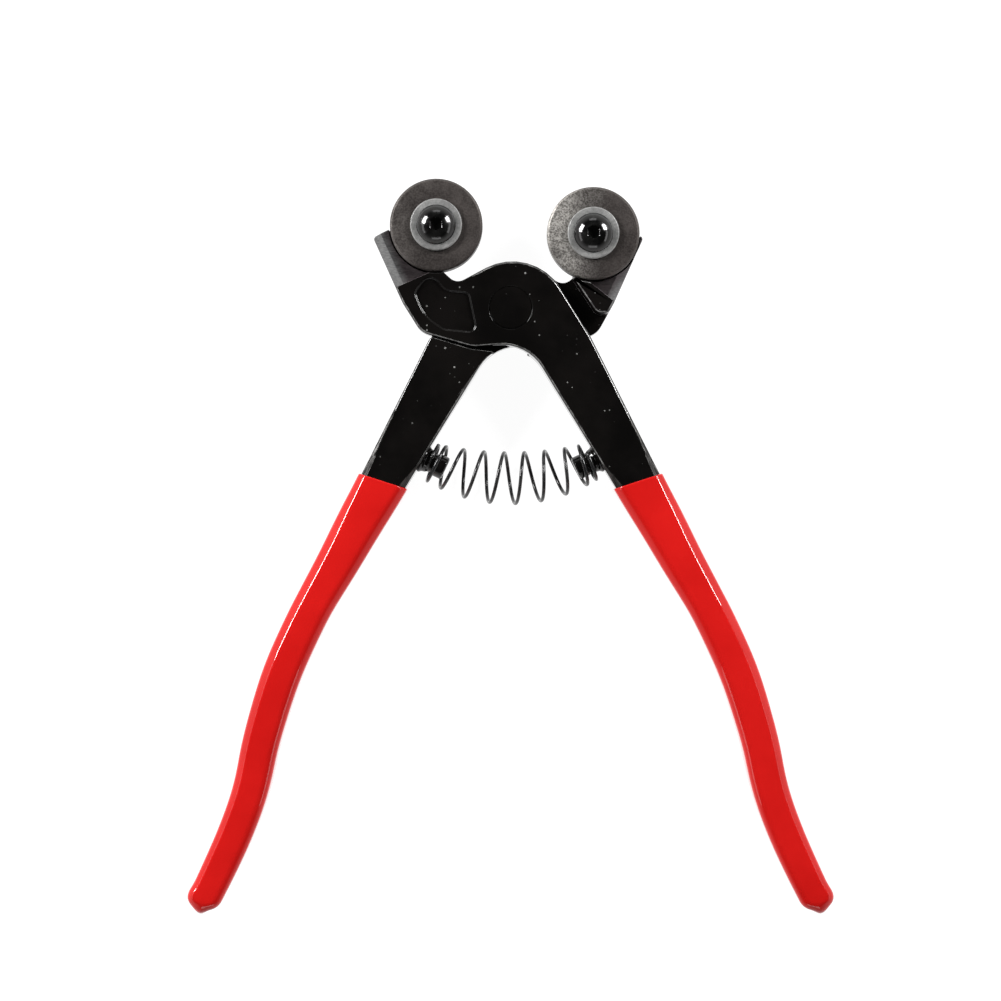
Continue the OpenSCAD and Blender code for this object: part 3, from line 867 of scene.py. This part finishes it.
def sleeve():
    """Closed skin of a grip about the pivot, with the tool's middle plane at z = 0. Slow waves
    and a swollen outer corner sag into the width, and the drip is drawn out at the tip."""
    s, angle, width, bevel = handle_walk(coat)
    sag = sum(height * np.sin(s / length + turns * angle) for height, length, turns in waves)
    sag = sag + corner_swell * bell(angle, corner_at, corner_spread) * (s > bar_l - 0.01)
    drip = drip_l * bell(angle, drip_at, np.where(angle < drip_at, drip_outside, drip_inside))
    inward = (1 - np.cos(angle)) / 2
    shoulder = outer_shoulder + (inner_shoulder - outer_shoulder) * inward
    outer = half_section(width + sag, bevel + vinyl_bevel, grip_half_t, shoulder,
                         side_round + 0 * s)
    outer[..., 0] += (drip[:, None] * (1 - (outer[..., 1] / head_t * 2) ** 2)
                      * (outer[..., 0] > width[:, None] / 2))
    steel_rounds = np.full(len(s), steel_round)
    inner = half_section(*handle_walk(0)[2:], steel_half_t, steel_rounds, steel_rounds)
    share = np.linspace(0, np.pi, lip_steps + 2)[1:-1]
    blend = ((1 - np.cos(share)) / 2)[:, None, None]
    lift = -coat * 0.5 * np.sin(share)[:, None]
    outside = place_rows(s, angle, outer, 0)
    inside = place_rows(s, angle, inner, 0)[::-1]
    lips = []
    for row in (-1, 0):
        rows = (1 - blend) * outer[row] + blend * inner[row]
        same = np.full(lip_steps, 1.0)
        lips.append(place_rows(dip_l * same, angle[row] * same, rows, lift))
    points = np.concatenate([outside, lips[0], inside, lips[1][::-1]])
    return points, grid_faces(len(points), points.shape[1], wrap_rows=True)


sleeve_points, sleeve_faces = sleeve()
for side_name, flip in (("front", 1), ("rear", -1)):
    mesh = make_mesh(f"grip_{side_name}", sleeve_points.reshape(-1, 3) * [flip, 1, 1] + pivot,
                     sleeve_faces, join=join_within)
    add_piece(mesh, vinyl, f"{side_name}_lever", f"{side_name}_grip", 50)

# %% [markdown]
# ## Carbide wheels
# The cutting wheels are sintered tungsten carbide, ground flat, with a small bevel on both
# rims: heavy, dark, satin, a little mottled, with traces of the grinding. The rear one is rubbed
# light on its left side, where the glass went. A turned outline gives the shape exactly. A
# cylinder with a Bevel modifier would do too, but its bevel and its bore would be harder to
# size.

# %% Wheel finish
carbide, tree, shader, place = new_finish("ground_carbide", Metallic=0.6)
blotch = effect(tree, mottle_group, Vector=place, Scale=110.0, Low=0.3, High=0.7)
grain = effect(tree, mottle_group, Vector=place, Scale=2600.0, Low=0.35, High=0.65)
lines = effect(tree, scratches_group, Vector=place, Scale=420.0, Stretch=9.0)
pits = effect(tree, specks_group, Vector=place, Scale=1100.0, Share=0.03, Size=0.22)
rubbed = stored(tree, "rubbed")
polish = times(tree, ramp(tree, rubbed, 0.0, 1.0), ramp(tree, blotch, -0.4, 1.0, 0.2, 1.0))
grey = mix(tree, blotch, (0.038, 0.032, 0.030, 1), (0.064, 0.055, 0.051, 1))
grey = mix(tree, times(tree, grain, 0.40), grey, (0.105, 0.092, 0.087, 1))
worn_grey = mix(tree, grain, (0.15, 0.14, 0.13, 1), (0.50, 0.48, 0.45, 1))
grey = mix(tree, polish, grey, worn_grey)
connect(tree, mix(tree, pits, grey, (0.02, 0.018, 0.018, 1)), shader.inputs["Base Color"])
rough = plus(tree, ramp(tree, blotch, 0, 1, 0.34, 0.42),
             times(tree, grain, 0.10))
connect(tree, rough, shader.inputs["Roughness"])
tooth = plus(tree, times(tree, grain, 0.10), times(tree, lines, 0.08))
tooth = plus(tree, tooth, times(tree, pits, -0.5))
bump(tree, shader, tooth)


# %% Wheels
def ring_outline(low, high, bore, rim, bore_bevel, rim_bevel, soft):
    """Closed outline of a ring as (radius, height) corners, with bevels and soft corners."""
    corners = [(bore, low + bore_bevel), (bore + bore_bevel, low), (rim - rim_bevel, low),
               (rim, low + rim_bevel), (rim, high - rim_bevel), (rim - rim_bevel, high),
               (bore + bore_bevel, high), (bore, high - bore_bevel)]
    return fillet(corners, np.full(8, soft), 3)


def turned(name, node, outline, steps=128):
    """Mesh of an outline turned about the upright axis of a CAD node; heights are in the frame."""
    x, y, _ = centre_mm(node)
    points, faces = lathe(outline, (x, y, 0), steps)
    return make_mesh(name, points, faces)


bush_d, bush_fit = 8.0, 0.05
wheel_bevel, bore_bevel, wheel_soft = 0.5, 0.25, 0.08
rubbed_side, rubbed_shift = np.array([-1.0, 0.1, 0]), 0.42
for side_name, rubbing in (("front", 0.15), ("rear", 0.9)):
    node = f"{side_name}_wheel"
    low, high = box_mm(node)
    radius = (high[0] - low[0]) / 2
    outline = ring_outline(low[2], high[2], bush_d / 2 + bush_fit, radius, bore_bevel,
                           wheel_bevel, wheel_soft)
    mesh = turned(f"wheel_{side_name}", node, outline, 160)
    share = (points_of(mesh) - centre_mm(node)) @ rubbed_side / radius
    mark(mesh, "rubbed", "POINT", (share + rubbed_shift) * rubbing)
    add_piece(mesh, carbide, node, node)

# %% [markdown]
# ## Washers and bushes
# Bright zinc-plated washers hold the wheels down. Their rims were punched, so the upper edge is
# softly rounded and the plating is grainy. The bushes inside the wheels can't be seen and keep
# their CAD shape, but they get the same metal.

# %% Zinc
zinc, tree, shader, place = new_finish("zinc_plate", Metallic=0.35)
grain = effect(tree, mottle_group, Vector=place, Scale=1500.0, Low=0.3, High=0.7)
blotch = effect(tree, mottle_group, Vector=place, Scale=240.0)
light = mix(tree, blotch, (0.23, 0.23, 0.226, 1), (0.36, 0.36, 0.353, 1))
connect(tree, mix(tree, times(tree, grain, 0.45), light, (0.08, 0.08, 0.08, 1)),
        shader.inputs["Base Color"])
connect(tree, ramp(tree, grain, 0, 1, 0.30, 0.46), shader.inputs["Roughness"])
bump(tree, shader, times(tree, grain, 0.14))

# %% Washers
screw_d, screw_fit = 5.0, 0.1
washer_bore_bevel, washer_rim_bevel, washer_soft = 0.12, 0.22, 0.10
for side_name in ("front", "rear"):
    node = f"{side_name}_wheel_washer"
    low, high = box_mm(node)
    outline = ring_outline(low[2], high[2], screw_d / 2 + screw_fit, (high[0] - low[0]) / 2,
                           washer_bore_bevel, washer_rim_bevel, washer_soft)
    add_piece(turned(f"washer_{side_name}", node, outline), zinc, f"{side_name}_lever", node)
    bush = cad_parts[f"{side_name}_wheel_bush"].data
    bush.materials.clear()
    bush.materials.append(zinc)

# %% [markdown]
# ## Button-head screws
# A button head is a low dome with a hexagon socket and glossy black oxide. The surface is a polar
# grid: near the middle each ring is a hexagon, farther out the rings turn into circles, and
# then they run down the shaft. A boolean cut would leave long thin faces on the dome, which
# show in a mirror finish.

# %% Black oxide
oxide, tree, shader, place = new_finish("black_oxide", Specular_IOR_Level=0.7, Metallic=0.0)
blotch = effect(tree, mottle_group, Vector=place, Scale=350.0)
worn = effect(tree, specks_group, Vector=place, Scale=1300.0, Share=0.05, Size=0.2)
black = mix(tree, blotch, (0.0020, 0.0020, 0.0021, 1), (0.0060, 0.0060, 0.0058, 1))
connect(tree, mix(tree, times(tree, worn, 0.3), black, (0.12, 0.12, 0.12, 1)),
        shader.inputs["Base Color"])
connect(tree, ramp(tree, blotch, 0, 1, 0.07, 0.16), shader.inputs["Roughness"])
bump(tree, shader, times(tree, blotch, 0.10))

# %% Screws
socket_w, socket_depth, drill_point = 3.0, 1.6, 0.25
head_rim, shaft_fit, shaft_tip = 0.25, 0.02, 0.4


def hexagon(turn):
    """Radius of a hexagon with a half width of 1 at each turn: 1 / cos of the turn from a flat."""
    sixth = np.pi / 3
    return 1 / np.cos((turn + sixth / 2) % sixth - sixth / 2)


def screw_surface(head_r, head_low, head_high, tip, steps=96):
    """Rings of the screw from the socket's floor over the dome and down the shaft. Each ring has
    a size, a share of circle against hexagon, and a height, or None where it lies on the dome."""
    dome_h = head_high - head_low - head_rim
    dome_r = (head_r ** 2 + dome_h ** 2) / (2 * dome_h)
    socket = socket_w / 2
    floor_z = head_high - socket_depth
    shaft = screw_d / 2 - shaft_fit
    rings = [(0, 0, floor_z - drill_point), (0.7 * socket, 0, floor_z - drill_point * 0.4),
             (socket - 0.08, 0, floor_z),
             (socket, 0, floor_z + 0.08), (socket, 0, head_high - 0.42),
             (socket + 0.04, 0.02, head_high - 0.26), (socket + 0.16, 0.1, None),
             (socket + 0.30, 0.3, None), (socket + 0.5, 0.8, None)]
    rings += [(r, 1, None) for r in np.linspace(socket + 0.75, head_r - 0.12, 16)]
    rings += [(head_r - 0.03, 1, head_low + head_rim - 0.02),
              (head_r, 1, head_low + head_rim - 0.1),
              (head_r, 1, head_low + 0.06), (head_r - 0.06, 1, head_low),
              (shaft, 1, head_low), (shaft, 1, tip + shaft_tip), (shaft - shaft_tip, 1, tip),
             (0, 1, tip)]
    turn = np.linspace(0, 2 * np.pi, steps, endpoint=False)[None, :]
    size, share, height = (np.array(x, float)[:, None] for x in zip(*rings))
    radius = size * ((1 - share) * hexagon(turn) + share)
    on_dome = head_high - dome_r + np.sqrt(np.maximum(dome_r ** 2 - radius ** 2, 0))
    z = np.where(np.isnan(height), on_dome, height)
    points = np.stack([radius * np.cos(turn), radius * np.sin(turn), z + 0 * turn], -1)
    return points, grid_faces(len(rings), steps, wrap_columns=True)


for side_name in ("front", "rear"):
    node = f"{side_name}_wheel_screw"
    low, high = box_mm(node)
    x, y, _ = centre_mm(node)
    washer_top = box_mm(f"{side_name}_wheel_washer")[1][2]
    points, faces = screw_surface((high[0] - low[0]) / 2, washer_top, high[2], low[2])
    mesh = make_mesh(f"screw_{side_name}", points + [x, y, 0], faces)
    add_piece(mesh, oxide, f"{side_name}_lever", node, 40)

# %% [markdown]
# ## Pivot rivet
# The rivet was peened flush and painted with the levers, so only a faint disc shows. Its upper
# head is crowned by little more than a tenth of a millimetre, which is enough to catch another
# part of the room than the flat steel round it.

# %% Rivet
rivet_d, rivet_head_t, rivet_bevel, crown = 8.0, 1.5, 0.25, 0.14
low, high = box_mm("pivot_rivet")
head_r = (high[0] - low[0]) / 2
dome = np.linspace(0, head_r - rivet_bevel, 12)
upper = np.stack([dome, high[2] + crown * (1 - (dome / head_r) ** 2)], -1)
lower = np.stack([dome[::-1], np.full(len(dome), low[2])], -1)
shank = [(head_r, high[2] - rivet_bevel), (head_r, high[2] - rivet_head_t),
         (rivet_d / 2, high[2] - rivet_head_t), (rivet_d / 2, low[2] + rivet_head_t),
         (head_r, low[2] + rivet_head_t), (head_r, low[2] + rivet_bevel)]
mesh = turned("rivet", "pivot_rivet", np.concatenate([upper, shank, lower]), 96)
add_piece(mesh, enamel, "rear_lever", "pivot_rivet")

# %% [markdown]
# ## Spring posts
# A turned stud is pressed into each shank, with a groove that the last coil of the spring sits
# in, and a fillet of paint where it meets the shank. The outline is turned about the stud's own
# tilted axis.

# %% Posts
post_l, post_d, post_out, post_lean = 41.3, 5.6, 5.8, 25.6
post_sink, tenon_d, tenon_l = 1.2, 4.0, 5.0
paint_foot, groove_low, groove_high, groove_depth = 0.7, 2.0, 2.9, 0.35
spring_z = centre_mm("front_spring_post")[2]
post_base = line_at(post_l) - half_width_at(post_l) * outward_at(post_l)
post_r = post_d / 2
post_outline = fillet([(0, -post_sink - tenon_l), (tenon_d / 2, -post_sink - tenon_l),
                       (tenon_d / 2, -post_sink), (post_r, -post_sink),
                       (post_r + paint_foot, 0.1), (post_r + 0.15, 0.8), (post_r, 1.5),
                       (post_r - groove_depth, groove_low), (post_r - groove_depth, groove_high),
                       (post_r, groove_high + 0.5), (post_r, post_out - 0.3),
                       (post_r - 0.5, post_out), (0, post_out)],
                      [0.01, 0.1, 0.01, 0.01, 0.3, 0.5, 0.3, 0.2, 0.2, 0.2, 0.3, 0.3, 0.01], 3)
lean = np.radians(180 + post_lean)
post_axes = np.array([[0, 0, 1], [-np.sin(lean), np.cos(lean), 0], [np.cos(lean), np.sin(lean), 0]])
post_points, post_faces = lathe(post_outline, (*post_base, spring_z - pivot[2]), 64, post_axes)
for side_name, flip in (("front", 1), ("rear", -1)):
    mesh = make_mesh(f"post_{side_name}", post_points * [flip, 1, 1] + pivot, post_faces)
    add_piece(mesh, enamel, f"{side_name}_lever", f"{side_name}_spring_post", 40)

# %% [markdown]
# ## Return spring
# The spring is one length of hardened wire, coiled wider in the middle than at its ends, which
# grip the posts. Its middle line is a helix about an arc through both posts. A round section
# is carried along it square to the wire. The arc stops a little short of each post: a longer
# reach would push the end coils farther into the shanks, and a shorter one would squeeze the
# middle coils into each other.

# %% Spring wire
wire, tree, shader, place = new_finish("spring_wire_finish", Metallic=0.2)
scale_marks = effect(tree, mottle_group, Vector=place, Scale=700.0, Low=0.3, High=0.7)
drawn = effect(tree, mottle_group, Vector=place, Scale=150.0)
dark_wire = mix(tree, scale_marks, (0.004, 0.004, 0.0045, 1), (0.014, 0.014, 0.015, 1))
connect(tree, mix(tree, times(tree, drawn, 0.25), dark_wire, (0.09, 0.09, 0.09, 1)),
        shader.inputs["Base Color"])
connect(tree, ramp(tree, scale_marks, 0, 1, 0.10, 0.20), shader.inputs["Roughness"])
bump(tree, shader, times(tree, scale_marks, 0.12))

# %% Spring
wire_d, coil_mid_d, coil_end_d = 0.85, 13.0, 9.6
coil_turns, end_crowding, crowd_power, coil_phase = 9, 0.207, 15, 292
post_bare = 1.8
arc_r = post_base[0] / np.sin(np.radians(post_lean))
arc_y = post_base[1] + arc_r * np.cos(np.radians(post_lean))
arc_half = np.radians(post_lean) - np.arcsin(post_bare / arc_r)


def wire_at(u):
    """Middle of the wire for u from -1 to 1: a circle of radius r about an arc of radius arc_r,
    with r falling as u squared and the turns crowding towards both ends."""
    turn = np.radians(coil_phase) + np.pi * coil_turns * (
        (1 - end_crowding) * u + end_crowding * u ** crowd_power)
    r = (coil_mid_d - (coil_mid_d - coil_end_d) * u ** 2 - wire_d) / 2
    reach = arc_r + r * np.cos(turn)
    arc = arc_half * u
    return np.stack([reach * np.sin(arc), arc_y - reach * np.cos(arc), r * np.sin(turn)], -1)


def tube(path, radius, steps, hint):
    """Round tube along a path: rings square to it, turned to a hint direction, and domed ends."""
    along = np.gradient(path, axis=0)
    along /= np.linalg.norm(along, axis=1, keepdims=True)
    side = np.cross(along, hint)
    side /= np.linalg.norm(side, axis=1, keepdims=True)
    out = np.cross(side, along)
    cap = np.linspace(0, np.pi / 2, 4)
    size = np.concatenate([np.sin(cap), np.ones(len(path) - 2), np.cos(cap)])
    row = np.concatenate([np.zeros(4, int), np.arange(1, len(path) - 1), np.full(4, len(path) - 1)])
    push = np.concatenate([-np.cos(cap), np.zeros(len(path) - 2), np.sin(cap)])
    turn = np.linspace(0, 2 * np.pi, steps, endpoint=False)[None, :, None]
    ring = np.cos(turn) * out[row][:, None] + np.sin(turn) * side[row][:, None]
    middle = path[row] + push[:, None] * along[row] * radius
    points = middle[:, None] + ring * radius * size[:, None, None]
    return points, grid_faces(len(row), steps, wrap_columns=True)


u = np.linspace(-1, 1, coil_turns * 48 + 1)
arc = arc_half * u
hint = np.stack([np.cos(arc), np.sin(arc), 0 * u], -1)
points, faces = tube(wire_at(u), wire_d / 2, 14, hint)
lift = np.array([pivot[0], pivot[1], spring_z])
spring = add_piece(make_mesh("spring", points + lift, faces), wire, None, "return_spring",
                   60)
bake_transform(spring)

# %% [markdown]
# ## Last look
# The CAD nodes that no new piece stands for stay visible in their own finish, so their names are
# printed.

# %% CAD nodes still shown
nodes_left = [name for name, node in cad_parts.items() if not node.hide_render]
print("CAD nodes still shown:", nodes_left)
